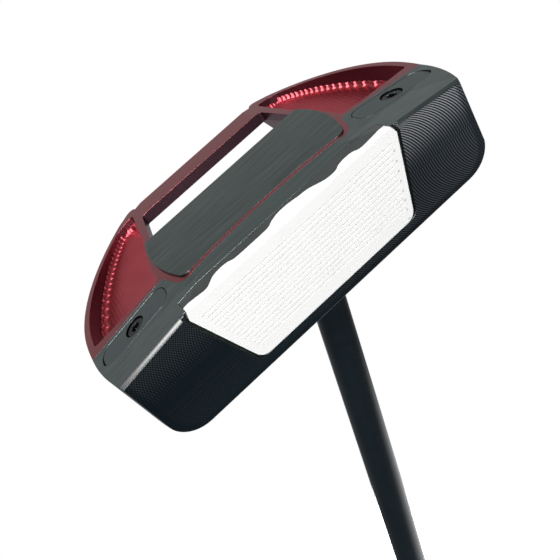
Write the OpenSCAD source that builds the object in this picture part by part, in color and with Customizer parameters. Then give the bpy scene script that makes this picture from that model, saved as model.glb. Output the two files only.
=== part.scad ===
// Centre-shafted mallet putter: two-part head, face insert, sole weights, shaft and grip.
// x runs from toe (-) to heel (+), y from face (-) to rear (+) and z up.
// The origin is in the flat sole, in the middle of the sole plate.

/* [Head] */
// Length of the head from heel to toe
head_length = 112.4; // [93.6:0.2:135]
// Depth of the head from leading edge to rear bar
head_depth = 74; // [61.5:0.5:89]
// Height of the face above the sole
face_height = 26.2; // [21.8:0.2:31.6]
// Loft of the face in degrees
loft = 3; // [1:0.5:5]
// Rise of the sole towards heel and toe, per unit of length
sole_camber = 0.15; // [0.12:0.01:0.18]
// Depth of the two cavities at their deepest, up from the sole
cavity_depth = 11.4; // [9.5:0.1:13.7]
// Thickness of the rear bar and of the web over the sole plate
web_t = 3.4; // [2.8:0.1:4.2]

/* [Face insert] */
// Half width of the insert at the sole
insert_sole_half = 30.6; // [25.4:0.2:36.8]
// Half width of the insert at its crown edge
insert_crown_half = 24.4; // [20.2:0.2:29.4]
// Height of face left above the insert
insert_margin = 3.1; // [2.4:0.1:5]
// Depth of the insert and its backer together
insert_depth = 7; // [5.8:0.1:8.4]

/* [Sole] */
// Thickness of the sole plate
plate_t = 1.4; // [1:0.1:1.7]
// Length of each sole weight as a share of the head's length
weight_share = 0.196; // [0.16:0.002:0.216]
// Width of each sole weight
weight_width = 8.6; // [7.1:0.1:9.2]
// Thickness of each sole weight
weight_t = 5; // [4.2:0.1:6]
// Thread diameter of the weight screws
screw_d = 4; // [3.3:0.1:4.8]

/* [Shaft] */
// Angle of the shaft to the ground, seen from the face side
lie = 71.5; // [68:0.5:78]
// Forward lean of the shaft in degrees
lean = 3.5; // [0:0.5:5]
// Diameter of the shaft at its tip
tip_d = 9.4; // [7.8:0.1:11.3]
// Diameter of the shaft at its butt
butt_d = 15.2; // [12.6:0.1:18.2]
// Length of the shaft
shaft_length = 955; // [780:5:1150]

/* [Grip] */
// Length of the grip
grip_length = 432; // [260:2:520]
// Diameter of the grip at its upper end
grip_d = 31; // [26:0.5:37]
// Thickness of the outer skin of the grip
skin_t = 1.6; // [1.3:0.1:1.9]

/* [Hidden] */
$fn = 64;

steel_dark = [0.28, 0.31, 0.30];
red_anodised = [0.52, 0.10, 0.14];
black_gloss = [0.04, 0.05, 0.06];

// The head's outlines are drawn at these sizes and follow the driving sizes.
kx = head_length / 112.4;
ky = head_depth / 74;
kz = face_height / 26.2;
half_length = head_length / 2;
insert_height = face_height - insert_margin;
plate_middle = 30 * ky;
big = 200;

// ---- outlines -------------------------------------------------------------

function arc(c, r, from, to, n) =
    [for (i = [0:n]) let (a = from + (to - from) * i / n) [c[0] + r * cos(a), c[1] + r * sin(a)]];

// Where two circles meet, on the side with the larger x
function circles_meet(c1, r1, c2, r2) =
    let (d = norm(c2 - c1),
         u = (c2 - c1) / d,
         a = (d * d + r1 * r1 - r2 * r2) / (2 * d),
         h = sqrt(r1 * r1 - a * a),
         p = c1 + a * u,
         q1 = p + h * [-u[1], u[0]],
         q2 = p - h * [-u[1], u[0]])
    q1[0] > q2[0] ? q1 : q2;

function heading(from, to) = atan2(to[1] - from[1], to[0] - from[0]);

// Corners [x, y, radius] of a polygon, each rounded with an arc
function rounded(corners, steps = 6) =
    [for (i = [0:len(corners) - 1])
        let (n = len(corners),
             p = corners[i],
             before = corners[(i + n - 1) % n],
             after = corners[(i + 1) % n],
             a = [p[0], p[1]],
             u = unit([before[0], before[1]] - a),
             v = unit([after[0], after[1]] - a),
             half = acos(max(-1, min(1, u * v))) / 2,
             reach = p[2] / tan(half),
             centre = a + unit(u + v) * p[2] / sin(half),
             start = heading(centre, a + u * reach),
             sweep = wrap(heading(centre, a + v * reach) - start))
        each (p[2] == 0 ? [a] : arc(centre, p[2], start, start + sweep, steps))];

function unit(v) = v / norm(v);
function wrap(a) = a > 180 ? a - 360 : (a < -180 ? a + 360 : a);
function flip(points) = [for (i = [len(points) - 1:-1:0]) [-points[i][0], points[i][1]]];
function both_sides(half) = concat(half, flip(half));
function in_plan(points) = [for (p = points) [p[0] * kx, p[1] * ky]];

// Each side of the head, from the leading edge round to the rear bar; the toe is cut back more
widest_y = 33;
heel_setback = 6.3;
toe_setback = 7.7;
rear_arc_c = [7.7, widest_y];
rear_arc_r = 48.5;
bar_end = 24.6;
function front_arc_r(setback) = (widest_y * widest_y + setback * setback) / (2 * setback);
function side_outline(setback) = concat(
    arc([56.2 - front_arc_r(setback), widest_y], front_arc_r(setback), -29, 0, 16),
    arc(rear_arc_c, rear_arc_r, 3, 60, 22),
    arc([27.3, 73.9], 2.6, 62, 165, 8),
    [[bar_end, 74]]);
head_outline = in_plan(concat(side_outline(heel_setback), flip(side_outline(toe_setback))));

// The sole plate: bowed sides, a hollow front edge and a straight rear edge
plate_side_c = [-20.65, 34];
plate_side_r = 50;
plate_front_c = [0, -111.8];
plate_front_r = 128;
plate_corner_r = 2.6;
plate_rear_y = 45.4;
plate_corner_c = circles_meet(plate_side_c, plate_side_r - plate_corner_r,
                              plate_front_c, plate_front_r + plate_corner_r);
plate_corner_a = heading(plate_side_c, plate_corner_c);
plate_front_a = heading(plate_front_c, plate_corner_c);

// Front edge and side of the plate, grown outward by g, up to the height y
function plate_edge(g, y) = concat(
    arc(plate_front_c, plate_front_r - g, 90, plate_front_a, 8),
    arc(plate_corner_c, plate_corner_r + g, plate_front_a - 180, plate_corner_a, 8),
    arc(plate_side_c, plate_side_r + g, plate_corner_a, asin((y - plate_side_c[1]) / (plate_side_r + g)), 10));

function plate_outline(g) = in_plan(both_sides(concat(
    plate_edge(g, plate_rear_y - 1),
    [[27.4 + g, plate_rear_y - 0.3]],
    [[26.9 + g, plate_rear_y]])));

// The line in the sole where the front body meets the rear body
rib_w = 1.5;
split_y = 23.4;
split_half = concat(
    plate_edge(rib_w, 20.4),
    arc([32.3, 19.9], 3.5, 168, 90, 6),
    [[70, split_y]]);
rear_region = in_plan(both_sides(concat(split_half, [[70, 100]])));

// Crescent cavity of the heel wing
rim_w = 2;
cavity_arc_r = rear_arc_r - rim_w;
cavity_tip = 71.9;
cavity_outline = in_plan(rounded(concat(
    [[30.9, 24.5, 1.4], [40, 25.2, 0], [54.2, 27.4, 1.5]],
    [for (p = arc(rear_arc_c, cavity_arc_r, -1, 55.5, 18)) [p[0], p[1], 0]],
    [[31, cavity_tip, 0], [26.5, cavity_tip, 1.6], [28.2, 50, 0], [30.1, 40, 0], [31, 31, 0]])));

// Through slot behind the plate, wider at its front edge
slot_rear_y = 63.7;
slot_outline = in_plan(rounded(
    [[26.6, plate_rear_y, 0.8], [24.3, slot_rear_y, 0.8], [-24.3, slot_rear_y, 0.8], [-26.6, plate_rear_y, 0.8]]));

// Channel between the wings
channel_outline = in_plan([[27, 8], [25.7, 90], [-25.7, 90], [-27, 8]]);

// Back surface of the insert, which swells into three lobes
wave_knots = [[32, 3.3], [30, 3.1], [26.5, 2.6], [23.2, 2.1], [21.6, 3.2], [20.2, 4.4], [17.9, 4.9],
              [15.9, 4.6], [14.1, 3.7], [9.5, 3.6], [4.8, 3.7], [2.9, 4.9], [0.7, 5.8], [-2.1, 5.9],
              [-5, 5.2], [-8, 4.6], [-11.6, 2.5], [-14.4, 2.3], [-16, 3.3], [-18, 3.8], [-20.3, 3.5],
              [-22, 2.3], [-26, 2.6], [-30, 3.2], [-32, 3.4]];

// Catmull-Rom curve through the knots
function spline(k, steps) =
    [for (i = [1:len(k) - 3])
        for (s = [0:steps - 1])
            let (t = s / steps)
            0.5 * (2 * k[i] + (k[i + 1] - k[i - 1]) * t
                + (2 * k[i - 1] - 5 * k[i] + 4 * k[i + 1] - k[i + 2]) * t * t
                + (3 * k[i] - k[i - 1] - 3 * k[i + 1] + k[i + 2]) * t * t * t)];

wave_scale = insert_sole_half / 30.6;
wave_end = 3.35 * insert_depth / 7;
wave_line = [for (p = spline(wave_knots, 4)) [p[0] * wave_scale, p[1] * insert_depth / 7]];

// ---- planes and frames ----------------------------------------------------

// Everything below the plane that passes p and rises by a per x and b per y
module below_plane(p, a, b) {
    translate(p)
        rotate(a = acos(1 / norm([a, b, 1])), v = norm([a, b]) > 0 ? [b, -a, 0] : [1, 0, 0])
            translate([-big, -big, -big])
                cube([2 * big, 2 * big, big]);
}

module mirrored() {
    children();
    mirror([1, 0, 0]) children();
}

// Moves the head from its leading edge to the origin in the sole
module in_head() {
    translate([0, -plate_middle, 0]) children();
}

// A frame whose y = 0 plane is the lofted face
module on_face() {
    rotate([-loft, 0, 0]) children();
}

// ---- sole -------------------------------------------------------------------

camber_x = 22 * kx;
function camber_z(x) = sole_camber * (x - camber_x);

// What the cambered sole removes at the heel end, behind the leading edge
module below_camber() {
    translate([0, big, 0])
        rotate([90, 0, 0])
            linear_extrude(height = 2 * big)
                polygon([[camber_x, 0], [camber_x + 60, 60 * sole_camber], [camber_x + 60, -5], [camber_x, -5]]);
}

// Bevels of the sole in front of the weights: one along the face and one at the corner
bevel_rise = 0.115;
corner_rise = 0.08;
crease = [25 * kx, 10.2 * ky];
crease_slope = 0.119 * ky / kx;
corner_point = [43.4 * kx, 12.4 * ky];

module below_sole_heel() {
    intersection() {
        below_camber();
        below_plane([crease[0], crease[1], camber_z(crease[0])],
                    sole_camber - bevel_rise * crease_slope, bevel_rise);
        below_plane([corner_point[0], corner_point[1], camber_z(corner_point[0])],
                    corner_rise, corner_rise);
    }
}

// Bright chamfer between sole and face, outboard of the insert
chamfer = 0.8;
module below_edge_chamfer() {
    x = insert_sole_half + 1.4;
    sole_z = max(0, camber_z(x) - bevel_rise * (crease[1] + crease_slope * (x - crease[0]) - chamfer));
    intersection() {
        below_plane([x, chamfer, sole_z], sole_camber, -1);
        translate([insert_sole_half + 0.6, -10, -10])
            cube([60, 20, 40]);
    }
}

// ---- head ---------------------------------------------------------------------

// The crown is a very large cylinder across the head, which falls towards the rear
crown_r = 600 * ky * ky / kz;
crown_fall = atan(0.2 * kz / ky);
crown_y = 2;
module under_crown() {
    translate([-big / 2, crown_y - crown_r * sin(crown_fall), face_height - crown_r * cos(crown_fall)])
        rotate([0, 90, 0])
            cylinder(h = big, r = crown_r, $fn = 720);
}

// Roof of the cavities, which falls towards the rear as well
cavity_roof_r = 122 * ky * ky;
module under_cavity_roof() {
    translate([-big / 2, 31 * ky, cavity_depth - cavity_roof_r])
        rotate([0, 90, 0])
            cylinder(h = big, r = cavity_roof_r, $fn = 360);
}

// A round-shouldered puck that rounds the face's upper corners
shoulder_r = 7;
module shoulder(nominal_setback) {
    setback = nominal_setback * kx;
    reach = widest_y * ky;
    puck_r = (reach * reach + setback * setback) / (2 * setback) + 0.1;
    translate([half_length - puck_r + 0.1, reach, 0])
        rotate_extrude($fn = 256)
            polygon(concat(
                [[0, -5], [puck_r, -5]],
                arc([puck_r - shoulder_r, face_height - shoulder_r], shoulder_r, 0, 90, 10),
                [[0, face_height]]));
}

module head_prism(height) {
    translate([0, 0, -2])
        linear_extrude(height = height + 2)
            polygon(head_outline);
}

// Ramp behind the face, which falls in a scoop to the channel floor
shaft_y = insert_depth + insert_height * sin(loft) + tip_d / 2 + 0.5;
scoop_front = max(21.2 * ky, shaft_y + tip_d / 2 + 2);
scoop_rear = 43.5 * ky;
scoop_r = scoop_rear - scoop_front;
scoop_c = [scoop_rear, web_t + 0.5 + scoop_r];
module scoop_profile() {
    polygon(concat(
        [[8, web_t], [scoop_c[0], web_t]],
        arc(scoop_c, scoop_r, 270, 180, 24),
        [[scoop_c[0] - scoop_r, 60], [8, 60]]));
}

module tongue() {
    intersection() {
        linear_extrude(height = 60)
            polygon(channel_outline);
        translate([-big / 2, 0, 0])
            rotate([90, 0, 90])
                linear_extrude(height = big)
                    scoop_profile();
    }
}

// Everything behind the split line below the web's top, and behind a straight line above it
module rear_side() {
    translate([0, 0, -3])
        linear_extrude(height = 3 + web_t)
            polygon(rear_region);
    translate([-big / 2, split_y * ky, -3])
        cube([big, 100 * ky, 80]);
}

module channel() {
    translate([0, 0, web_t])
        linear_extrude(height = 80)
            polygon(channel_outline);
}

// Outline of the insert: slanted sides, cut back where they meet the sole
insert_slant = (insert_sole_half - insert_crown_half) / insert_height;
corner_cut = 1.3;
corner_z = 1.9;
function insert_edge(grow) = [
    [insert_sole_half - corner_cut + grow, -5, 0],
    [insert_sole_half - corner_cut + grow, 0, 0.4],
    [insert_sole_half - insert_slant * corner_z + grow, corner_z, 0.8],
    [insert_crown_half + grow, insert_height, 3]];

module insert_prism(grow, depth) {
    half = insert_edge(grow);
    on_face()
        translate([0, depth, 0])
            rotate([90, 0, 0])
                linear_extrude(height = depth + 4)
                    polygon(rounded(concat(half, [for (i = [3:-1:0]) [-half[i][0], half[i][1], half[i][2]]])));
}

// Step round the pocket's mouth, which shows as a dark line round the insert
mouth_gap = 0.85;
mouth_depth = 0.9;

// Sole weights sit square to the cambered sole
weight_at = [41.8 * kx, 17.6 * ky];
weight_tilt = atan(sole_camber);
weight_fit = 0.18;
thread_depth = 7;
head_r = screw_d * 0.64;
head_h = screw_d * 0.5;

module at_weight(side) {
    in_head()
        weight_frame(side)
            children();
}

module weight_frame(side) {
    translate([side * weight_at[0], weight_at[1], camber_z(weight_at[0])])
        rotate([0, -side * weight_tilt, 0])
            children();
}

module pill(grow) {
    length = weight_share * head_length + 2 * grow;
    width = weight_width + 2 * grow;
    r = 3.4 + grow;
    polygon(rounded([[length / 2, width / 2, r], [-length / 2, width / 2, r],
                     [-length / 2, -width / 2, r], [length / 2, -width / 2, r]], 10));
}

// Shaft frame: z along the axis, zero just above the crown
shaft_exit = [0, shaft_y, 25 * kz];
shaft_dir = [1 / tan(lie), -tan(lean), 1];
bore_depth = 18.6 * kz;

module shaft_frame() {
    translate(shaft_exit)
        rotate(a = acos(1 / norm(shaft_dir)), v = [-shaft_dir[1], shaft_dir[0], 0])
            children();
}

module on_shaft() {
    in_head()
        shaft_frame()
            children();
}

// Countersunk screws through the web into the front body
body_screw_r = 1.5;
body_screw_len = 6;
body_screw_at = [for (x = [-20, -9, 9, 20]) [x * kx, 25.5 * ky]];

module countersunk(r, len, sink) {
    rotate_extrude()
        polygon([[0, 0], [sink, 0], [r, sink - r], [r, len], [0, len]]);
}

module body_screw_holes() {
    for (p = body_screw_at)
        translate([p[0], p[1], plate_t])
            countersunk(body_screw_r, body_screw_len + 0.3, 2.9);
}

// Lightening pockets in the front body, closed by the web of the rear body
pocket_wall = 2.4;
module core_pockets() {
    front = 15.6 * ky;
    mirrored()
        translate([13.4 * kx, front, 0])
            cube([11.6 * kx, split_y * ky - pocket_wall - front, 17.5 * kz]);
}

module front_body() {
    color(steel_dark)
    in_head()
    difference() {
        intersection() {
            union() {
                difference() {
                    head_prism(60);
                    rear_side();
                }
                tongue();
            }
            on_face()
                translate([-big / 2, 0, -20])
                    cube([big, big, 100]);
            under_crown();
            shoulder(heel_setback);
            mirror([1, 0, 0]) shoulder(toe_setback);
        }
        translate([-big / 2, -20, -10])
            cube([big, big, 10]);
        mirrored() {
            below_sole_heel();
            below_edge_chamfer();
        }
        insert_prism(0.1, insert_depth + 0.2);
        insert_prism(mouth_gap, mouth_depth);
        for (side = [-1, 1])
            weight_frame(side) {
                translate([0, 0, -6])
                    linear_extrude(height = 6 + weight_t)
                        pill(weight_fit);
                cylinder(h = weight_t + thread_depth + 0.6, r = screw_d / 2);
            }
        shaft_frame()
            translate([0, 0, -bore_depth])
                cylinder(h = bore_depth + 40, r = tip_d / 2 + 0.1);
        body_screw_holes();
        sight_groove();
        core_pockets();
    }
}

module rear_body() {
    color(red_anodised)
    in_head()
    difference() {
        intersection() {
            head_prism(60);
            rear_side();
            under_crown();
        }
        channel();
        translate([-big / 2, -20, -10])
            cube([big, big, 10]);
        mirrored() {
            below_camber();
            intersection() {
                translate([0, 0, -2])
                    linear_extrude(height = 60)
                        polygon(cavity_outline);
                under_cavity_roof();
            }
        }
        translate([0, 0, -2])
            linear_extrude(height = 40)
                polygon(slot_outline);
        translate([0, 0, -2])
            linear_extrude(height = 2 + plate_t)
                polygon(plate_outline(0.05));
        body_screw_holes();
    }
}

module insert_solid(front, back) {
    in_head()
    difference() {
        intersection() {
            insert_prism(0, insert_depth);
            on_face()
                translate([0, 0, -5])
                    linear_extrude(height = 60)
                        polygon(concat(front, back));
        }
        translate([-big / 2, -20, -10])
            cube([big, big, 10]);
        mirrored()
            below_sole_heel();
    }
}

module face_insert() {
    color("white")
        insert_solid([[-50, 0], [50, 0]], concat([[50, wave_end]], wave_line, [[-50, wave_end]]));
}

module insert_backer() {
    color([0.35, 0.37, 0.37])
        insert_solid(concat([[50, insert_depth], [50, wave_end]], wave_line),
                     [[-50, wave_end], [-50, insert_depth]]);
}

module insert_tape() {
    color([0.8, 0.78, 0.7])
    in_head()
    difference() {
        intersection() {
            insert_prism(0, insert_depth + 0.2);
            on_face()
                translate([-big / 2, insert_depth, -5])
                    cube([big, 5, 60]);
        }
        translate([-big / 2, -20, -10])
            cube([big, big, 11]);
        mirrored()
            below_sole_heel();
    }
}

module sole_plate() {
    color(steel_dark)
    in_head()
    linear_extrude(height = plate_t - 0.2)
        polygon(plate_outline(0));
}

module plate_tape() {
    color([0.8, 0.78, 0.7])
    in_head()
    translate([0, 0, plate_t - 0.2])
        linear_extrude(height = 0.2)
            polygon(plate_outline(-1.5));
}

module body_screws() {
    color("silver")
    in_head()
    for (p = body_screw_at)
        translate([p[0], p[1], plate_t])
            difference() {
                countersunk(body_screw_r - 0.02, body_screw_len, 2.88);
                translate([0, 0, -1])
                    cylinder(h = 2, r = 1.1, $fn = 6);
            }
}

// Painted line let into the ramp behind the face
line_w = 2;
line_t = 0.3;
line_from = 27 * ky;
line_to = 42.6 * ky;
module scoop_round(r) {
    translate([-big / 2, scoop_c[0], scoop_c[1]])
        rotate([0, 90, 0])
            cylinder(h = big, r = r, $fn = 128);
}

module sight_strip(grow, inner_r) {
    difference() {
        intersection() {
            translate([-line_w / 2 - grow, line_from - grow, web_t])
                cube([line_w + 2 * grow, line_to - line_from + 2 * grow, scoop_r]);
            scoop_round(scoop_r + line_t + grow);
        }
        scoop_round(inner_r);
    }
}

module sight_groove() {
    sight_strip(0.02, scoop_r - 1);
}

module sight_line() {
    color("white")
    in_head()
        sight_strip(0, scoop_r);
}

module weight(side) {
    at_weight(side)
    difference() {
        linear_extrude(height = weight_t - 0.1)
            pill(0);
        translate([0, 0, -1])
            cylinder(h = head_h + 1.3, r = head_r + 0.4);
        translate([0, 0, -1])
            cylinder(h = weight_t + 2, r = screw_d / 2 + 0.15);
    }
}

module heel_weight() {
    color([0.30, 0.34, 0.36]) weight(1);
}

module toe_weight() {
    color([0.30, 0.34, 0.36]) weight(-1);
}

// Six-lobed socket of a weight screw
module socket(r) {
    polygon([for (i = [0:47]) let (a = i * 7.5) (r + 0.16 * r * cos(6 * a)) * [cos(a), sin(a)]]);
}

module weight_screw(side) {
    at_weight(side)
    difference() {
        union() {
            translate([0, 0, 0.3])
                cylinder(h = head_h, r = head_r);
            translate([0, 0, 0.3])
                cylinder(h = weight_t + thread_depth - 0.3, r = screw_d / 2 - 0.04);
        }
        translate([0, 0, -1])
            linear_extrude(height = 2.4)
                socket(screw_d * 0.34);
    }
}

module heel_weight_screw() {
    color([0.15, 0.15, 0.16]) weight_screw(1);
}

module toe_weight_screw() {
    color([0.15, 0.15, 0.16]) weight_screw(-1);
}

// ---- shaft and grip -------------------------------------------------------------

shaft_wall = 0.6;
shaft_end = shaft_length - bore_depth;
taper_from = 10;
function shaft_r(s) =
    s < taper_from ? tip_d / 2
        : tip_d / 2 + (butt_d - tip_d) / 2 * (s - taper_from) / (shaft_end - taper_from);

module ring_solid(points) {
    on_shaft()
        rotate_extrude($fn = 96)
            polygon(points);
}

module shaft() {
    bottom = 0.3 - bore_depth;
    color(black_gloss)
        ring_solid([[shaft_r(0) - shaft_wall, bottom], [shaft_r(0), bottom], [shaft_r(0), taper_from],
                    [shaft_r(shaft_end), shaft_end], [shaft_r(shaft_end) - shaft_wall, shaft_end],
                    [shaft_r(0) - shaft_wall, taper_from]]);
}

module shaft_epoxy() {
    color([0.75, 0.7, 0.5])
        ring_solid([[tip_d / 2, 0.3 - bore_depth], [tip_d / 2 + 0.1, 0.3 - bore_depth],
                    [tip_d / 2 + 0.1, -3], [tip_d / 2, -3]]);
}

module tip_plug() {
    r = tip_d / 2 - shaft_wall;
    color([0.7, 0.55, 0.35])
        ring_solid([[0, 0.3 - bore_depth], [r, 0.3 - bore_depth], [r, 3], [0, 3]]);
}

counterweight_length = 36;
counterweight_top = shaft_end - 14;
module counterweight() {
    low = counterweight_top - counterweight_length;
    r = shaft_r(low) - shaft_wall - 0.05;
    color("silver")
        ring_solid([[0, low], [r - 0.6, low], [r, low + 0.6], [r, counterweight_top], [0, counterweight_top]]);
}

// Ribbed plug that keeps the counterweight in the butt
module counterweight_plug() {
    r = shaft_r(counterweight_top) - shaft_wall - 0.02;
    color([0.1, 0.1, 0.1])
        ring_solid([[1.6, counterweight_top], [r, counterweight_top],
                    [r, shaft_end - 4], [1.6, shaft_end - 4]]);
}

grip_from = shaft_end - grip_length + 3;
grip_low_r = shaft_r(grip_from) + skin_t + 1.75;
cap_t = 4;

// Outer radius of the grip: straight for its upper half, then a slow taper
function grip_r(s) =
    let (t = max(0, min(1, (s - grip_from) / (grip_length * 0.62))))
    grip_low_r + (grip_d / 2 - grip_low_r) * (3 * t * t - 2 * t * t * t);

function grip_side(shrink, top) = concat(
    [for (i = [0:14]) let (s = grip_from + grip_length * 0.62 * i / 14) [grip_r(s) - shrink, s]],
    [[grip_d / 2 - shrink, top]]);

// Flat along the front of the grip, for both thumbs
module thumb_flat(shrink) {
    flat = grip_d / 2 * 0.8 - shrink;
    on_shaft()
        translate([-50, -100 - flat, grip_from + 40])
            cube([100, 100, grip_length]);
}

// The grip's outside, drawn in by shrink
module grip_form(shrink, top) {
    difference() {
        ring_solid(concat([[0, grip_from]], grip_side(shrink, top), [[0, top]]));
        thumb_flat(shrink);
    }
}

module shaft_clearance(gap) {
    ring_solid([[0, grip_from - 1], [shaft_r(grip_from - 1) + gap, grip_from - 1],
                [shaft_r(shaft_end + 3) + gap, shaft_end + 3], [0, shaft_end + 3]]);
}

tape_t = 0.2;
lip_t = 4;
module grip_tape() {
    low = grip_from + lip_t;
    color([0.85, 0.84, 0.8])
        ring_solid([[shaft_r(low), low], [shaft_r(low) + tape_t, low],
                    [shaft_r(shaft_end) + tape_t, shaft_end], [shaft_r(shaft_end), shaft_end]]);
}

module below_lip() {
    ring_solid([[0, grip_from - 2], [50, grip_from - 2], [50, grip_from + lip_t], [0, grip_from + lip_t]]);
}

module grip_core() {
    color([0.2, 0.2, 0.22])
    difference() {
        grip_form(skin_t, shaft_end);
        below_lip();
        shaft_clearance(tape_t);
    }
}

module grip_skin() {
    color([0.08, 0.08, 0.09])
    difference() {
        grip_form(0, shaft_end);
        difference() {
            grip_form(skin_t, shaft_end + 2);
            below_lip();
        }
        shaft_clearance(0.02);
    }
}

module grip_cap() {
    r = grip_r(shaft_end);
    color([0.12, 0.12, 0.13])
    difference() {
        ring_solid(concat(
            [[1.2, shaft_end], [r - 0.4, shaft_end]],
            arc([r - 2.4, shaft_end + cap_t - 2], 2, 0, 90, 8),
            [[1.2, shaft_end + cap_t]]));
        thumb_flat(0.4);
    }
}

front_body();
rear_body();
face_insert();
insert_backer();
insert_tape();
sole_plate();
plate_tape();
body_screws();
sight_line();
heel_weight();
toe_weight();
heel_weight_screw();
toe_weight_screw();
shaft();
shaft_epoxy();
tip_plug();
counterweight();
counterweight_plug();
grip_tape();
grip_core();
grip_skin();
grip_cap();
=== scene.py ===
import bmesh
import bpy
from math import atan, cos, pi, radians, sin, sqrt, tan
from mathutils import Matrix, Vector


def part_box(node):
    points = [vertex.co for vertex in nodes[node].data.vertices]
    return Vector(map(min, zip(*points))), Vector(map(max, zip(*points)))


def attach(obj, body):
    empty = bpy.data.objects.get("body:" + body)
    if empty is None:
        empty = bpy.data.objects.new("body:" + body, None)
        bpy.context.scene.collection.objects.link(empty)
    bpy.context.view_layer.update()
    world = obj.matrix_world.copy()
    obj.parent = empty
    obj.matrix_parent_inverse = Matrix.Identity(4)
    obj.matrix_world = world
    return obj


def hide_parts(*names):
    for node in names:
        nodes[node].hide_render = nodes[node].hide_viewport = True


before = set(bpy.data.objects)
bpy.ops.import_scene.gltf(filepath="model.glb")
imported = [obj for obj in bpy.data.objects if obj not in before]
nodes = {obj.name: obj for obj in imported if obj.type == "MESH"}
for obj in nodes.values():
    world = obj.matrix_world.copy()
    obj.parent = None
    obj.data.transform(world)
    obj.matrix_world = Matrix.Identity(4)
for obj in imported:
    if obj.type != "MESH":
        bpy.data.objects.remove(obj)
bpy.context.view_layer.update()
scene = bpy.context.scene

# ---- Studio ----------------------------------------------------------------
# The club is held up in front of a white backdrop and seen from below the sole,
# close to it. A dim tent and four softboxes light it, tuned to this one view.
scene.view_settings.view_transform = "Standard"

eye = Vector((0.01914, -0.13229, -0.05661))
looks_at = Vector((0.0114, -0.04476, 0.0))
roll = radians(140.11)
lens = bpy.data.cameras.new("camera")
lens.sensor_width = 36.0
lens.lens = 35.96
lens.clip_start = 0.01
camera = bpy.data.objects.new("camera", lens)
aim = (looks_at - eye).to_track_quat("-Z", "Y").to_matrix().to_4x4()
camera.matrix_world = Matrix.Translation(eye) @ aim @ Matrix.Rotation(roll, 4, "Z")
scene.collection.objects.link(camera)
scene.camera = camera


def add_node(tree, kind, *feeds, **settings):
    """A new node with its settings, each input fed in order by a socket or set to a value."""
    made = tree.nodes.new("ShaderNode" + kind)
    for name, value in settings.items():
        setattr(made, name, value)
    for socket, feed in zip(made.inputs, feeds):
        if isinstance(feed, bpy.types.NodeSocket):
            tree.links.new(feed, socket)
        elif feed is not None:
            socket.default_value = feed
    return made.outputs[0]


def maths(tree, operation, *feeds):
    return add_node(tree, "Math", *feeds, operation=operation)


def vectors(tree, operation, *feeds):
    made = add_node(tree, "VectorMath", *feeds, operation=operation)
    return made.node.outputs["Value" if operation in ("LENGTH", "DOT_PRODUCT") else "Vector"]


def mixed(tree, factor, first, second):
    """Colour between first and second."""
    made = tree.nodes.new("ShaderNodeMix")
    made.data_type = "RGBA"
    for index, feed in ((0, factor), (6, first), (7, second)):
        if isinstance(feed, bpy.types.NodeSocket):
            tree.links.new(feed, made.inputs[index])
        else:
            made.inputs[index].default_value = feed if index == 0 else (*feed, 1.0)
    return made.outputs[2]


def spread(tree, value, low, high, out_low, out_high, smooth=False):
    """Value mapped from one span to another and kept inside it."""
    return add_node(tree, "MapRange", value, low, high, out_low, out_high,
                    interpolation_type="SMOOTHSTEP" if smooth else "LINEAR")


# The tent: white to the camera. For everything else it is brightest low down behind the
# sole, dark in front, and bright again straight overhead so that the floor is pale.
tent = bpy.data.worlds.new("tent")
scene.world = tent
tent.use_nodes = True
sky = tent.node_tree
sky.nodes.clear()
towards = add_node(sky, "TexCoord").node.outputs["Generated"]
brightness = spread(sky, vectors(sky, "DOT_PRODUCT", towards, (-0.22, 0.82, -0.53)),
                    -0.6, 1.0, 0.04, 0.46, smooth=True)
overhead = spread(sky, add_node(sky, "SeparateXYZ", towards).node.outputs["Z"],
                  0.80, 0.98, 0.0, 1.7)
brightness = maths(sky, "ADD", brightness, overhead)
seen = add_node(sky, "Background", (1.0, 1.0, 1.0, 1.0), 1.0)
lit = add_node(sky, "Background", (0.97, 0.99, 1.0, 1.0), brightness)
straight = add_node(sky, "LightPath").node.outputs["Is Camera Ray"]
sky.links.new(add_node(sky, "MixShader", straight, lit, seen),
              sky.nodes.new("ShaderNodeOutputWorld").inputs["Surface"])


def softbox(name, place, target, size, power, colour=(1.0, 1.0, 1.0)):
    """A square area light which the camera doesn't see."""
    data = bpy.data.lights.new(name, "AREA")
    data.size = size
    data.energy = power
    data.color = colour
    light = bpy.data.objects.new(name, data)
    light.location = place
    light.rotation_euler = (Vector(target) - Vector(place)).to_track_quat("-Z", "Y").to_euler()
    light.visible_camera = False
    scene.collection.objects.link(light)


middle = (0.0, 0.0, 0.01)
softbox("key", (0.22, -0.74, -0.36), middle, 0.40, 6.1)
softbox("under", (0.16, -0.34, -0.74), middle, 0.36, 5.0)
softbox("toe_front", (-0.56, -0.76, 0.46), middle, 0.34, 0.32)
softbox("top_fill", (0.2, 0.6, 1.5), (0.0, 0.0, 0.3), 0.8, 14.0)

# Pale floor just under the sole; it can't be seen from below, and hides no light from there
floor_mesh = bpy.data.meshes.new("floor")
slab = bmesh.new()
bmesh.ops.create_grid(slab, x_segments=1, y_segments=1, size=4.0)
bmesh.ops.translate(slab, verts=slab.verts, vec=(0.0, 0.0, -0.0006))
slab.to_mesh(floor_mesh)
slab.free()
floor = bpy.data.objects.new("floor", floor_mesh)
scene.collection.objects.link(floor)
floor.visible_shadow = floor.visible_diffuse = floor.visible_glossy = False
floor_paint = bpy.data.materials.new("floor_paint")
floor_paint.use_nodes = True
paint = floor_paint.node_tree
paint.nodes.clear()
speckle = add_node(paint, "TexNoise", None, None, 40.0)
matt = add_node(paint, "BsdfDiffuse", mixed(paint, speckle, (0.80, 0.80, 0.79), (0.83, 0.83, 0.82)))
clear = add_node(paint, "BsdfTransparent")
behind = add_node(paint, "NewGeometry").node.outputs["Backfacing"]
paint.links.new(add_node(paint, "MixShader", behind, matt, clear),
                paint.nodes.new("ShaderNodeOutputMaterial").inputs["Surface"])
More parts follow.
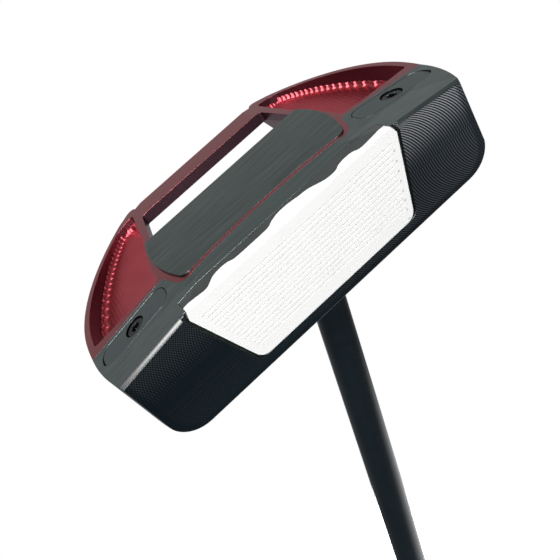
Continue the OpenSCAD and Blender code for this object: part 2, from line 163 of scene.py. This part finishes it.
floor_mesh.materials.append(floor_paint)

# ---- Front body --------------------------------------------------------------
# Block of stainless steel milled all over and coated dark grey-green. The sole is
# satin, and the face keeps the arcs of the fly cutter that finished it.


def finish(name, **sockets):
    """A material whose shader has these plain sockets set; gives its tree and shader."""
    material = bpy.data.materials.new(name)
    material.use_nodes = True
    shader = material.node_tree.nodes["Principled BSDF"]
    for socket, value in sockets.items():
        value = (*value, 1.0) if isinstance(value, tuple) and len(value) == 3 else value
        shader.inputs[socket.replace("_", " ")].default_value = value
    return material, material.node_tree, shader


def in_millimetres(tree):
    """Place on the club in millimetres."""
    return vectors(tree, "MULTIPLY", add_node(tree, "TexCoord").node.outputs["Object"],
                   (1000.0, 1000.0, 1000.0))


def group(name, inputs, outputs):
    """An empty shader group with these float inputs and (name, type) outputs."""
    tree = bpy.data.node_groups.new(name, "ShaderNodeTree")
    for label, value in inputs:
        socket = tree.interface.new_socket(label, in_out="INPUT", socket_type="NodeSocketFloat")
        socket.default_value = value
    for label, kind in outputs:
        tree.interface.new_socket(label, in_out="OUTPUT", socket_type="NodeSocket" + kind)
    return tree, tree.nodes.new("NodeGroupInput"), tree.nodes.new("NodeGroupOutput")


def use_group(tree, made, **values):
    """Places a group in a material with its own values."""
    placed = tree.nodes.new("ShaderNodeGroup")
    placed.node_tree = made
    for label, value in values.items():
        if isinstance(value, bpy.types.NodeSocket):
            tree.links.new(value, placed.inputs[label])
        else:
            placed.inputs[label].default_value = value
    return placed.outputs


# Corners that the tumbling and handling have rounded and rubbed brighter; the lighter edges are
# partly a painted highlight along them
edge_wear_and_highlight, edge_in, edge_out = group("edge_wear_and_highlight", [("Radius", 0.0002)],
                                     [("Edge", "Float"), ("Normal", "Vector")])
rounded = add_node(edge_wear_and_highlight, "Bevel", edge_in.outputs["Radius"], samples=6)
flat = add_node(edge_wear_and_highlight, "NewGeometry").node.outputs["Normal"]
turned = maths(edge_wear_and_highlight, "SUBTRACT", 1.0, vectors(edge_wear_and_highlight, "DOT_PRODUCT", rounded, flat))
edge_wear_and_highlight.links.new(spread(edge_wear_and_highlight, turned, 0.01, 0.22, 0.0, 1.0), edge_out.inputs["Edge"])
edge_wear_and_highlight.links.new(rounded, edge_out.inputs["Normal"])

# Fine satin grain: even specks, and soft clouds that vary the polish
satin, satin_in, satin_out = group("satin", [("Size", 0.12)],
                                   [("Speck", "Float"), ("Cloud", "Float")])
place = in_millimetres(satin)
pitch = maths(satin, "DIVIDE", 1.0, satin_in.outputs["Size"])
specks = add_node(satin, "TexNoise", place, None, pitch, 3.0, 0.6)
clouds = add_node(satin, "TexNoise", place, None, 0.16, 3.0, 0.5)
satin.links.new(specks, satin_out.inputs["Speck"])
satin.links.new(spread(satin, clouds, 0.3, 0.7, 0.0, 1.0), satin_out.inputs["Cloud"])

front_steel, steel, steel_shader = finish("front_steel", Metallic=1.0, Specular_IOR_Level=0.5)
loft = radians(3.0)
leading_edge = 30.0
cutter_r = 16.0
cutter_z = 13.7
cutter_feed = 0.645
chamfer = 0.8
camber_from = 22.0
camber = 0.15
pill_at = (41.8, 12.4, 0.0)
pill_reach = (12.0, 4.4)
place = in_millimetres(steel)
apart = add_node(steel, "SeparateXYZ", place).node.outputs
depth = vectors(steel, "DOT_PRODUCT", vectors(steel, "ADD", place, (0.0, leading_edge, 0.0)),
                (0.0, cos(loft), -sin(loft)))
on_face = spread(steel, depth, 0.02, 0.08, 1.0, 0.0)
off_centre = maths(steel, "SUBTRACT", apart["Z"], cutter_z)
reach = maths(steel, "SQRT", maths(steel, "MAXIMUM", 1.0, maths(
    steel, "SUBTRACT", cutter_r ** 2, maths(steel, "MULTIPLY", off_centre, off_centre))))


def cutter_marks(way):
    """Ridges left by one edge of the fly cutter."""
    along = maths(steel, "MULTIPLY_ADD", reach, way, apart["X"])
    wave = maths(steel, "SINE", maths(steel, "MULTIPLY", along, 2 * pi / cutter_feed))
    return maths(steel, "MULTIPLY_ADD", wave, 0.5, 0.5)


def between(tree, first, second, share):
    """Value between first and second."""
    return maths(tree, "MULTIPLY_ADD", maths(tree, "SUBTRACT", second, first), share, first)


# The cutter's two edges cross their marks. The toe side is given only the ridges that lean to the
# toe, and the heel side the crossings.
# The ridges are painted near white as a painted highlight, bright near the sole and fainter on the
# heel side.
leading = cutter_marks(1.0)
trailing = cutter_marks(-1.0)
heel_side = spread(steel, apart["X"], -4.0, 4.0, 0.0, 1.0)
leaning = between(steel, leading, trailing, spread(steel, off_centre, -0.15, 0.15, 0.0, 1.0))
crossings = maths(steel, "POWER", between(steel, leading, trailing, 0.5), 2.2)
marks = between(steel, maths(steel, "POWER", leaning, 2.6), crossings, heel_side)
low_light = spread(steel, apart["Z"], 3.5, 12.5, 1.0, 0.17, smooth=True)
high_light = spread(steel, apart["Z"], 14.0, 22.0, 0.0, 0.07)
arc_highlight = maths(steel, "MULTIPLY", maths(steel, "ADD", low_light, high_light),
               spread(steel, apart["X"], -20.0, 20.0, 1.0, 0.34))
# The marks are fainter outside a rounded box that follows the outline of the face
box_middle = (0.7, 0.0, 4.0)
box_half = (41.6, 1000.0, 14.6)
box_corner = 5.8
off_box = vectors(steel, "ABSOLUTE", vectors(steel, "SUBTRACT", place, box_middle))
outside_box = vectors(steel, "LENGTH", vectors(steel, "MAXIMUM", vectors(
    steel, "SUBTRACT", off_box, box_half), (0.0, 0.0, 0.0)))
milled = maths(steel, "MULTIPLY", on_face,
               spread(steel, outside_box, box_corner, box_corner + 0.8, 1.0, 0.35))
arcs = maths(steel, "MULTIPLY", marks, milled)
grain = use_group(steel, satin, Size=0.10)
edge = use_group(steel, edge_wear_and_highlight, Radius=0.00022)
streaks = add_node(steel, "TexNoise", vectors(steel, "MULTIPLY", place, (0.03, 1.3, 1.3)),
                   None, 1.0, 4.0, 0.6)
# The chamfer between sole and face is painted light grey on the heel side as a painted highlight,
# brightest in its middle and darker towards the heel end
facing = add_node(steel, "NewGeometry").node.outputs["Normal"]
tilted = vectors(steel, "DOT_PRODUCT", facing, (0.0, -0.707, -0.707))
heel_chamfer = maths(steel, "MULTIPLY", spread(steel, tilted, 0.90, 0.97, 0.0, 1.0),
                     spread(steel, apart["X"], 20.0, 21.0, 0.0, 1.0))
off_middle = maths(steel, "ABSOLUTE", maths(steel, "SUBTRACT", depth, chamfer / 2))
chamfer_highlight = mixed(steel, maths(steel, "MAXIMUM", spread(steel, apart["X"], 40.0, 51.0, 0.0, 1.0),
                            spread(steel, off_middle, 0.04, 0.30, 0.0, 0.9)),
               (0.175, 0.172, 0.168), (0.042, 0.046, 0.046))
tone = mixed(steel, spread(steel, streaks, 0.35, 0.65, 0.0, 1.0),
             (0.096, 0.126, 0.123), (0.144, 0.175, 0.170))
# The face is given a different tone on the heel side than on the toe side, as painted light for how
# the light falls across it
face_shade_by_side = mixed(steel, spread(steel, apart["X"], -20.0, 20.0, 0.0, 1.0),
             (0.028, 0.040, 0.054), (0.030, 0.058, 0.078))
tone = mixed(steel, on_face, tone, face_shade_by_side)
# Painted highlight on the cutter's ridges
tone = mixed(steel, maths(steel, "MULTIPLY", arcs, arc_highlight), tone, (0.90, 0.91, 0.94))
tone = mixed(steel, heel_chamfer, tone, chamfer_highlight)
# The walls of the two pill pockets are near black, so that the gap reads as a shadow line
rise = maths(steel, "MULTIPLY", maths(steel, "MAXIMUM", 0.0, maths(
    steel, "SUBTRACT", maths(steel, "ABSOLUTE", apart["X"]), camber_from)), camber)
off_pill = vectors(steel, "ABSOLUTE", vectors(
    steel, "SUBTRACT", vectors(steel, "ABSOLUTE", place), pill_at))
near_pill = add_node(steel, "SeparateXYZ", off_pill).node.outputs
in_pocket = maths(
    steel, "MULTIPLY", spread(steel, near_pill["X"], pill_reach[0], pill_reach[0] + 0.1, 1.0, 0.0),
    spread(steel, near_pill["Y"], pill_reach[1], pill_reach[1] + 0.1, 1.0, 0.0))
above_sole = maths(steel, "SUBTRACT", apart["Z"], rise)
in_pocket = maths(steel, "MULTIPLY", in_pocket, maths(
    steel, "MULTIPLY", spread(steel, above_sole, 0.04, 0.10, 0.0, 1.0),
    spread(steel, above_sole, 6.0, 7.0, 1.0, 0.0)))
tone = mixed(steel, in_pocket, tone, (0.012, 0.013, 0.014))
# Edges lightened, partly as wear and partly as a painted highlight
tone = mixed(steel, maths(steel, "MULTIPLY", edge["Edge"], 0.30), tone, (0.34, 0.34, 0.35))
steel.links.new(tone, steel_shader.inputs["Base Color"])
steel.links.new(spread(steel, grain["Speck"], 0.3, 0.7, 0.30, 0.40),
                steel_shader.inputs["Roughness"])


def relief(tree, shader, height, normal=None):
    """Bumps the surface by a height in millimetres."""
    bump = tree.nodes.new("ShaderNodeBump")
    bump.inputs["Distance"].default_value = 0.001
    tree.links.new(height, bump.inputs["Height"])
    if normal:
        tree.links.new(normal, bump.inputs["Normal"])
    tree.links.new(bump.outputs["Normal"], shader.inputs["Normal"])


relief(steel, steel_shader, maths(steel, "ADD", maths(steel, "MULTIPLY", arcs, 0.006),
                                  maths(steel, "MULTIPLY", grain["Speck"], 0.0022)), edge["Normal"])


def repaint(name, material):
    """The CAD node keeps its shape and takes this material."""
    nodes[name].material_slots[0].material = material


repaint("front_body", front_steel)

# ---- Face insert ---------------------------------------------------------------
# White cast urethane, bonded into the face pocket with a contoured aluminium backer
# behind it. Fine straight grooves run along it, inside a plain margin.
groove_pitch = 0.00122
groove_w = 0.00032
groove_deep = 0.00005
margin = 0.0020
first_row = 0.0033
sole_half = 0.0306
side_slope = 6.2 / 23.1
face_up = Vector((0.0, sin(loft), cos(loft)))
face_out = Vector((0.0, -cos(loft), sin(loft)))
face_foot = Vector((0.0, -leading_edge / 1000.0, 0.0))


def merged_copy(name):
    """A joined-up copy of a CAD node's mesh, with its flat faces whole again."""
    made = bmesh.new()
    made.from_mesh(nodes[name].data)
    bmesh.ops.remove_doubles(made, verts=made.verts, dist=1e-6)
    bmesh.ops.dissolve_limit(made, angle_limit=radians(0.5), verts=made.verts, edges=made.edges)
    return made


def new_piece(name, made, material, body="head"):
    """Turns a bmesh into a piece that rides on a body."""
    mesh = bpy.data.meshes.new(name)
    made.to_mesh(mesh)
    made.free()
    piece = bpy.data.objects.new(name, mesh)
    scene.collection.objects.link(piece)
    mesh.materials.append(material)
    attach(piece, body)
    return piece


def cut(made, faces, point, normal):
    """Cuts these faces along a plane and gives all the faces they became."""
    edges = {edge for face in faces for edge in face.edges}
    verts = {vert for face in faces for vert in face.verts}
    done = bmesh.ops.bisect_plane(made, geom=[*faces, *edges, *verts], dist=1e-7,
                                  plane_co=point, plane_no=normal)
    return [item for item in done["geom"] if isinstance(item, bmesh.types.BMFace)]


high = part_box("face_insert")[1]
insert = merged_copy("face_insert")
front = [face for face in insert.faces if face.normal.dot(face_out) > 0.999]
rows_end = high[2] - 0.0027
rows_across = int((rows_end - first_row) / groove_pitch) + 1
rows = [first_row + k * groove_pitch for k in range(rows_across)]
for row in rows:
    for side in (-0.5, 0.5):
        front = cut(insert, front, face_foot + face_up * (row + side * groove_w), face_up)
slant = Vector((1.0, 0.0, side_slope)).normalized()
for side in (-1, 1):
    normal = Vector((side * slant.x, 0.0, slant.z))
    front = cut(insert, front, Vector((side * sole_half, 0.0, 0.0)) - normal * margin, normal)
grooves = []
for face in front:
    centre = face.calc_center_median()
    along = (centre - face_foot).dot(face_up)
    clear_of_side = Vector((sole_half - abs(centre.x), 0.0, -centre.z)).dot(slant)
    if clear_of_side > margin and min(abs(along - row) for row in rows) < groove_w * 0.4:
        grooves.append(face)
sunk = bmesh.ops.extrude_discrete_faces(insert, faces=grooves)["faces"]
for face in sunk:
    bmesh.ops.translate(insert, verts=face.verts, vec=-face_out * groove_deep)

white_urethane, cast, cast_shader = finish("white_urethane", Roughness=0.42, IOR=1.5)
cloud = use_group(cast, satin, Size=0.25)
edge = use_group(cast, edge_wear_and_highlight, Radius=0.00025)
# A grey dot at the toe end of every other groove, which is colour and not a hole
first_dot = 5.1
dot_line = 28.9
dot_pitch = 2 * groove_pitch * 1000.0
apart = add_node(cast, "SeparateXYZ", in_millimetres(cast)).node.outputs
row = maths(cast, "DIVIDE", maths(cast, "SUBTRACT", apart["Z"], first_dot), dot_pitch)
dot_z = maths(cast, "MULTIPLY", maths(cast, "SUBTRACT", row, maths(cast, "ROUND", row)), dot_pitch)
dot_x = maths(cast, "ADD", apart["X"],
              maths(cast, "MULTIPLY_ADD", apart["Z"], -side_slope, dot_line))
off_dot = maths(cast, "SQRT", maths(cast, "ADD", maths(cast, "MULTIPLY", dot_x, dot_x),
                                    maths(cast, "MULTIPLY", dot_z, dot_z)))
dotted = maths(cast, "MULTIPLY", spread(cast, off_dot, 0.22, 0.34, 1.0, 0.0),
               spread(cast, apart["Z"], 3.6, 3.8, 0.0, 1.0))
tone = mixed(cast, cloud["Cloud"], (0.90, 0.90, 0.89), (0.92, 0.92, 0.91))
cast.links.new(mixed(cast, dotted, tone, (0.55, 0.55, 0.55)), cast_shader.inputs["Base Color"])
relief(cast, cast_shader, maths(cast, "MULTIPLY", cloud["Speck"], 0.002), edge["Normal"])
grooved = new_piece("face_insert_grooved", insert, white_urethane)
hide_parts("face_insert")

grey_backer, backer, backer_shader = finish("grey_backer", Metallic=1.0)
grain = use_group(backer, satin, Size=0.15)
edge = use_group(backer, edge_wear_and_highlight, Radius=0.00015)
backer.links.new(mixed(backer, grain["Cloud"], (0.11, 0.125, 0.12), (0.14, 0.155, 0.15)),
                 backer_shader.inputs["Base Color"])
backer.links.new(spread(backer, grain["Speck"], 0.3, 0.7, 0.32, 0.42),
                 backer_shader.inputs["Roughness"])
relief(backer, backer_shader, maths(backer, "MULTIPLY", grain["Speck"], 0.002), edge["Normal"])
repaint("insert_backer", grey_backer)

# ---- Rear body -------------------------------------------------------------------
# One piece of aluminium, milled and anodised red: two hollow wings, the rib round the
# sole plate and the bar behind the slot. Four screws under the plate hold it on.
red_anodised, red, red_shader = finish("red_anodised", Metallic=1.0, Coat_Weight=0.25,
                                       Coat_Roughness=0.25, Coat_IOR=1.45)
wall_c = Vector((7.7, 33.0))
wall_r = 46.5
grain = use_group(red, satin, Size=0.11)
edge = use_group(red, edge_wear_and_highlight, Radius=0.00022)
tone = mixed(red, grain["Cloud"], (0.50, 0.070, 0.090), (0.57, 0.084, 0.106))
# Painted shade: a darker tone for the surfaces in the sole, and for the walls of the two cavities
apart = add_node(red, "SeparateXYZ", in_millimetres(red)).node.outputs
rise = maths(red, "MULTIPLY", maths(red, "MAXIMUM", 0.0, maths(
    red, "SUBTRACT", maths(red, "ABSOLUTE", apart["X"]), camber_from)), camber)
sole_shade = spread(red, maths(red, "SUBTRACT", apart["Z"], rise), 0.05, 0.15, 1.0, 0.0)
tone = mixed(red, sole_shade, tone, (0.29, 0.046, 0.058))
facing = add_node(red, "NewGeometry").node.outputs["Normal"]
upright = add_node(red, "SeparateXYZ", facing).node.outputs["Z"]
from_centre = vectors(red, "LENGTH", vectors(red, "SUBTRACT", vectors(red, "MULTIPLY", vectors(
    red, "ABSOLUTE", in_millimetres(red)), (1.0, 0.0, 0.0)), add_node(
        red, "CombineXYZ", wall_c.x, maths(
            red, "SUBTRACT", wall_c.y - leading_edge, apart["Y"]), 0.0)))
cavity_wall_shade = maths(red, "MULTIPLY",
                    spread(red, maths(red, "ABSOLUTE", upright), 0.10, 0.35, 1.0, 0.0),
                    spread(red, from_centre, wall_r + 0.7, wall_r + 1.1, 1.0, 0.0))
cavity_wall_shade = maths(red, "MULTIPLY", cavity_wall_shade, maths(red, "SUBTRACT", 1.0, sole_shade))
tone = mixed(red, cavity_wall_shade, tone, (0.16, 0.070, 0.092))
# Edges lightened to pink, partly as wear and partly as a painted highlight
tone = mixed(red, maths(red, "MULTIPLY", edge["Edge"], 0.45), tone, (0.62, 0.25, 0.28))
red.links.new(tone, red_shader.inputs["Base Color"])
red.links.new(spread(red, grain["Speck"], 0.3, 0.7, 0.32, 0.42), red_shader.inputs["Roughness"])
relief(red, red_shader, maths(red, "MULTIPLY", grain["Speck"], 0.0018), edge["Normal"])
repaint("rear_body", red_anodised)

# The floor of each cavity as the round-cornered cutter left it: passes from front to rear
# that stop at the outer wall, with a ridge between each two
cutter_flat = 0.25
cutter_corner = 1.35
cutter = cutter_flat + cutter_corner
step_over = 1.13
first_pass = 51.6
last_pass = 29.4
crest = 31.0
inner_wall = 31.0
inner_slope = 0.11
front_wall = 25.2
front_slope = 0.155
front_lap = 0.6
into_wall = 0.35
into_roof = 0.25
below_roof = 0.06
grid_from = (26.0, 24.0)
grid_size = (28.6, 48.4)
cavity_tip = 71.9
roof_top = 11.4
roof_r = 122.0
passes = []
for k in range(int((first_pass - last_pass) / step_over) + 1):
    x = first_pass - k * step_over
    rear = wall_c.y + sqrt(max(0.0, (wall_r - cutter) ** 2 - (x - wall_c.x) ** 2))
    ahead = front_wall + cutter + max(0.0, (x - 40.0) * front_slope)
    beside = crest + (inner_wall + cutter - x) / inner_slope
    passes.append((x, max(ahead, beside), min(rear, cavity_tip - cutter)))


def roof(y):
    """Height of the cavity's roof."""
    return roof_top - roof_r + sqrt(roof_r ** 2 - (y - crest) ** 2)


def milled_roof(x, y):
    """Height of the milled surface, the highest that any pass reached."""
    best = -1e9
    for centre, start, stop in passes:
        nearest = min(max(y, start), stop)
        off = max(0.0, sqrt((x - centre) ** 2 + (y - nearest) ** 2) - cutter_flat)
        if off < cutter_corner:
            best = max(best, roof(nearest) - cutter_corner + sqrt(cutter_corner ** 2 - off ** 2))
    return best if best > -1e8 else roof(y) - cutter_corner


def in_cavity(x, y, out):
    """True inside the cavity's outline grown by out."""
    outer = (Vector((x, y)) - wall_c).length < wall_r + out
    inner = x > inner_wall - inner_slope * max(0.0, y - crest) - out
    ahead = front_wall - front_lap + max(0.0, (x - 40.0) * front_slope) - out
    return outer and inner and ahead < y < cavity_tip + out


for side, name in ((1, "heel_cavity_milling"), (-1, "toe_cavity_milling")):
    milling = bmesh.new()
    bmesh.ops.create_grid(milling, x_segments=208, y_segments=240, size=0.5)
    for vert in milling.verts:
        vert.co = ((vert.co.x + 0.5) * grid_size[0] + grid_from[0],
                   (vert.co.y + 0.5) * grid_size[1] + grid_from[1], 0.0)
    outside = [face for face in milling.faces
               if not in_cavity(*face.calc_center_median().xy, into_wall)]
    bmesh.ops.delete(milling, geom=outside, context="FACES")
    for vert in milling.verts:
        vert.co.z = milled_roof(vert.co.x, vert.co.y) - below_roof
    lid = bmesh.ops.extrude_face_region(milling, geom=milling.faces[:])["geom"]
    for vert in (item for item in lid if isinstance(item, bmesh.types.BMVert)):
        vert.co.z = roof(vert.co.y) + into_roof
    for vert in milling.verts:
        across, back, up = vert.co
        vert.co = (side * across / 1000.0, (back - leading_edge) / 1000.0, up / 1000.0)
    bmesh.ops.recalc_face_normals(milling, faces=milling.faces)
    piece = new_piece(name, milling, red_anodised)
    for polygon in piece.data.polygons:
        polygon.use_smooth = True

# ---- Sole plate --------------------------------------------------------------------
# Thin steel plate bonded into the pocket in the sole, coated dark and brushed from
# heel to toe. It carries no lettering here.
plate_steel, plate, plate_shader = finish("plate_steel", Metallic=1.0)
place = in_millimetres(plate)
streaks = add_node(plate, "TexNoise", vectors(plate, "MULTIPLY", place, (0.05, 1.8, 1.8)),
                   None, 1.0, 4.0, 0.65)
edge = use_group(plate, edge_wear_and_highlight, Radius=0.00018)
tone = mixed(plate, spread(plate, streaks, 0.35, 0.65, 0.0, 1.0),
             (0.052, 0.070, 0.065), (0.150, 0.180, 0.170))
tone = mixed(plate, maths(plate, "MULTIPLY", edge["Edge"], 0.3), tone, (0.28, 0.29, 0.29))
plate.links.new(tone, plate_shader.inputs["Base Color"])
plate.links.new(spread(plate, streaks, 0.3, 0.7, 0.28, 0.40), plate_shader.inputs["Roughness"])
relief(plate, plate_shader, maths(plate, "MULTIPLY", streaks, 0.006), edge["Normal"])
repaint("sole_plate", plate_steel)

# ---- Sole weights and their screws ---------------------------------------------------
# Two steel pills, bead-blasted and coated, each in its own pocket. A black six-lobe
# screw through the middle of each threads into the front body and lifts it out.
weight_steel, blasted, blasted_shader = finish("weight_steel", Metallic=1.0)
grain = use_group(blasted, satin, Size=0.14)
edge = use_group(blasted, edge_wear_and_highlight, Radius=0.0003)
tone = mixed(blasted, grain["Cloud"], (0.105, 0.126, 0.128), (0.125, 0.150, 0.152))
# The sides of each pill are painted near black as painted shade, like the walls of its pocket
facing = add_node(blasted, "NewGeometry").node.outputs["Normal"]
upright = add_node(blasted, "SeparateXYZ", facing).node.outputs["Z"]
tone = mixed(blasted, maths(blasted, "MULTIPLY", edge["Edge"], 0.15), tone, (0.30, 0.32, 0.33))
tone = mixed(blasted, spread(blasted, maths(blasted, "ABSOLUTE", upright), 0.25, 0.5, 1.0, 0.0),
             tone, (0.012, 0.013, 0.014))
blasted.links.new(tone, blasted_shader.inputs["Base Color"])
blasted.links.new(spread(blasted, grain["Speck"], 0.3, 0.7, 0.34, 0.46),
                  blasted_shader.inputs["Roughness"])
relief(blasted, blasted_shader, maths(blasted, "MULTIPLY", grain["Speck"], 0.003), edge["Normal"])
screw_hole = 0.0034
pill_chamfer = 0.00018
sole_tilt = atan(camber)
for side, name in ((1, "heel_weight"), (-1, "toe_weight")):
    pill = merged_copy(name)
    low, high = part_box(name)
    centre = (Vector(low) + Vector(high)) / 2
    down = Vector((side * sin(sole_tilt), 0.0, -cos(sole_tilt)))
    rim = []
    for line in pill.edges:
        facing_down = [face.normal.dot(down) > 0.999 for face in line.link_faces]
        halfway = (line.verts[0].co + line.verts[1].co) / 2 - centre
        off_screw = (halfway - down * halfway.dot(down)).length
        if sorted(facing_down) == [False, True] and off_screw > screw_hole:
            rim.append(line)
    bmesh.ops.bevel(pill, geom=rim, offset=pill_chamfer, segments=2, profile=0.6,
                    affect="EDGES", clamp_overlap=True)
    piece = new_piece(name + "_chamfered", pill, weight_steel, name)
    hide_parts(name)

black_screw, oxide, oxide_shader = finish("black_screw", Metallic=1.0)
grain = use_group(oxide, satin, Size=0.08)
edge = use_group(oxide, edge_wear_and_highlight, Radius=0.0002)
tone = mixed(oxide, grain["Cloud"], (0.035, 0.038, 0.040), (0.050, 0.054, 0.056))
tone = mixed(oxide, maths(oxide, "MULTIPLY", edge["Edge"], 0.5), tone, (0.22, 0.23, 0.23))
oxide.links.new(tone, oxide_shader.inputs["Base Color"])
oxide.links.new(spread(oxide, grain["Speck"], 0.3, 0.7, 0.30, 0.42),
                oxide_shader.inputs["Roughness"])
relief(oxide, oxide_shader, maths(oxide, "MULTIPLY", grain["Speck"], 0.002), edge["Normal"])
repaint("heel_weight_screw", black_screw)
repaint("toe_weight_screw", black_screw)

# ---- Shaft ---------------------------------------------------------------------------
# Tapered steel tube with a gloss black coat, glued into the bore behind the face. It
# has an orange-peel so slight that only its reflections show it.
shaft_black, gloss, gloss_shader = finish("shaft_black", Metallic=0.0, Specular_IOR_Level=0.3,
                                          Coat_Weight=0.3, Coat_Roughness=0.10, Coat_IOR=1.4)
place = in_millimetres(gloss)
peel = add_node(gloss, "TexNoise", place, None, 0.35, 2.0, 0.5)
dust = add_node(gloss, "TexNoise", place, None, 6.0, 3.0, 0.6)
gloss.links.new(mixed(gloss, peel, (0.006, 0.010, 0.013), (0.010, 0.015, 0.019)),
                gloss_shader.inputs["Base Color"])
gloss.links.new(spread(gloss, dust, 0.3, 0.7, 0.16, 0.26), gloss_shader.inputs["Roughness"])
relief(gloss, gloss_shader, maths(gloss, "MULTIPLY", peel, 0.02))
repaint("shaft", shaft_black)

# ---- Grip ----------------------------------------------------------------------------
# Counterbalanced grip: foam core under a moulded polyurethane skin with a flat front
# for the thumbs, closed by a vented cap.
lie = radians(71.5)
lean = radians(3.5)
diamond = 2.2
direction = Vector((1 / tan(lie), -tan(lean), 1.0)).normalized()
sideways = direction.cross(Vector((0.0, 1.0, 0.0))).normalized()
skin, moulded, moulded_shader = finish("grip_skin", IOR=1.5)
place = in_millimetres(moulded)
up = vectors(moulded, "DOT_PRODUCT", place, tuple(direction))
across = vectors(moulded, "DOT_PRODUCT", place, tuple(sideways))
one = maths(moulded, "SINE", maths(moulded, "MULTIPLY", maths(moulded, "ADD", up, across),
                                   2 * pi / diamond))
two = maths(moulded, "SINE", maths(moulded, "MULTIPLY", maths(moulded, "SUBTRACT", up, across),
                                   2 * pi / diamond))
diamonds = maths(moulded, "MULTIPLY", one, two)
pores = use_group(moulded, satin, Size=0.5)
tone = mixed(moulded, pores["Cloud"], (0.020, 0.020, 0.022), (0.030, 0.030, 0.032))
tone = mixed(moulded, spread(moulded, diamonds, 0.0, 0.8, 0.0, 0.6), tone, (0.075, 0.075, 0.078))
moulded.links.new(tone, moulded_shader.inputs["Base Color"])
moulded.links.new(spread(moulded, diamonds, -1.0, 1.0, 0.62, 0.46),
                  moulded_shader.inputs["Roughness"])
relief(moulded, moulded_shader, maths(moulded, "ADD", maths(moulded, "MULTIPLY", diamonds, 0.08),
                                      maths(moulded, "MULTIPLY", pores["Speck"], 0.02)))
repaint("grip_skin", skin)

black_plastic, plastic, plastic_shader = finish("black_plastic", IOR=1.5)
pores = use_group(plastic, satin, Size=0.3)
edge = use_group(plastic, edge_wear_and_highlight, Radius=0.0004)
plastic.links.new(mixed(plastic, pores["Cloud"], (0.018, 0.018, 0.019), (0.026, 0.026, 0.027)),
                  plastic_shader.inputs["Base Color"])
plastic.links.new(spread(plastic, pores["Speck"], 0.3, 0.7, 0.42, 0.55),
                  plastic_shader.inputs["Roughness"])
relief(plastic, plastic_shader, maths(plastic, "MULTIPLY", pores["Speck"], 0.01), edge["Normal"])
repaint("grip_cap", black_plastic)
repaint("counterweight_plug", black_plastic)

# ---- Sight line and hidden pieces -------------------------------------------------------
# White filler in the ramp behind the face, and what the outer pieces hide: screws,
# bonding films, glue, the tip plug, the butt weight and the foam of the grip.


def plain(name, dark, light, rough, grain_mm, metallic=0.0):
    """A plain finish with clouds of two tones and a fine grain."""
    made, tree, shader = finish(name, Metallic=metallic)
    speckled = use_group(tree, satin, Size=grain_mm)
    tree.links.new(mixed(tree, speckled["Cloud"], dark, light), shader.inputs["Base Color"])
    tree.links.new(spread(tree, speckled["Speck"], 0.3, 0.7, rough - 0.06, rough + 0.06),
                   shader.inputs["Roughness"])
    relief(tree, shader, maths(tree, "MULTIPLY", speckled["Speck"], grain_mm * 0.03))
    return made


repaint("sight_line", plain("white_paint", (0.80, 0.80, 0.79), (0.86, 0.86, 0.85), 0.4, 0.2))
zinc = plain("screw_steel", (0.48, 0.48, 0.47), (0.58, 0.58, 0.56), 0.32, 0.15, 1.0)
film = plain("bond_film", (0.58, 0.53, 0.38), (0.64, 0.58, 0.44), 0.6, 0.4)
for name in ("body_screws", "counterweight"):
    repaint(name, zinc)
for name in ("insert_tape", "plate_tape", "shaft_epoxy", "grip_tape"):
    repaint(name, film)
repaint("tip_plug", plain("plug_wood", (0.42, 0.29, 0.16), (0.55, 0.40, 0.23), 0.7, 0.6))
repaint("grip_core", plain("grip_foam", (0.035, 0.035, 0.04), (0.055, 0.055, 0.06), 0.85, 0.9))
